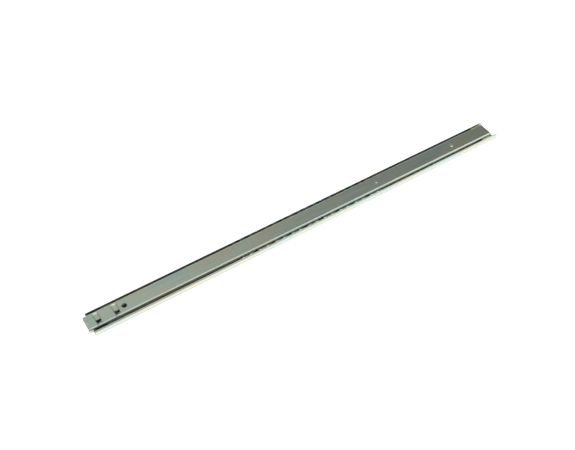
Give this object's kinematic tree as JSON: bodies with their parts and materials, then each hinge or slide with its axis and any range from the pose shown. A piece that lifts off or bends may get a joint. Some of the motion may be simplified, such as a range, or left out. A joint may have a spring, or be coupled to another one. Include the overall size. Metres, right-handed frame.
{
  "type": "ball bearing drawer slide",
  "caption": "Single-extension ball-bearing drawer slide: a cabinet channel, a drawer channel with two bayonet hooks, a caged row of balls on each side, and end stops.",
  "frame": {"origin": "centre of the front fixing hole on the back face of the cabinet member", "axes": "+X along the slide from the cabinet's front to its back, +Z from the cabinet side towards the drawer, +Y across the slide, away from the way the hooks point"},
  "size_m": [0.5548, 0.0286, 0.0122],
  "materials": {
    "cabinet_member_steel": "zinc plated, satin",
    "drawer_member_steel": "zinc plated, satin with faint passivation blush",
    "retainer_steel": "zinc plated, bright",
    "ball_steel": "polished hardened steel",
    "black_rubber": "moulded, matt",
    "natural_nylon": "moulded natural nylon, satin"
  },
  "bodies": {
    "cabinet_side": {"outer_member": "cabinet_member_steel", "front_bumper": "black_rubber"},
    "drawer_side": {"inner_member": "drawer_member_steel", "rear_stop": "natural_nylon"},
    "ball_cage": {"ball_retainer": "retainer_steel", "ball_01": "ball_steel", "ball_02": "ball_steel", "ball_03": "ball_steel", "ball_04": "ball_steel", "ball_05": "ball_steel", "ball_06": "ball_steel", "ball_07": "ball_steel", "ball_08": "ball_steel", "ball_09": "ball_steel", "ball_10": "ball_steel", "ball_11": "ball_steel", "ball_12": "ball_steel", "ball_13": "ball_steel", "ball_14": "ball_steel", "ball_15": "ball_steel", "ball_16": "ball_steel", "ball_17": "ball_steel", "ball_18": "ball_steel", "ball_19": "ball_steel", "ball_20": "ball_steel", "ball_21": "ball_steel", "ball_22": "ball_steel", "ball_23": "ball_steel", "ball_24": "ball_steel", "ball_25": "ball_steel", "ball_26": "ball_steel", "ball_27": "ball_steel", "ball_28": "ball_steel", "ball_29": "ball_steel", "ball_30": "ball_steel", "ball_31": "ball_steel", "ball_32": "ball_steel", "ball_33": "ball_steel", "ball_34": "ball_steel", "ball_35": "ball_steel", "ball_36": "ball_steel"}
  },
  "joints": [
    {"name": "drawer_travel", "type": "slide", "parent": "cabinet_side", "child": "drawer_side", "axis": [-1, 0, 0], "range_m": [0, 0.3156]},
    {"name": "retainer_travel", "type": "slide", "parent": "cabinet_side", "child": "ball_cage", "axis": [-1, 0, 0], "range_m": [0, 0.1578]}
  ],
  "couplings": [
    {"joint": "retainer_travel", "follows": "drawer_travel", "ratio": 0.5}
  ]
}
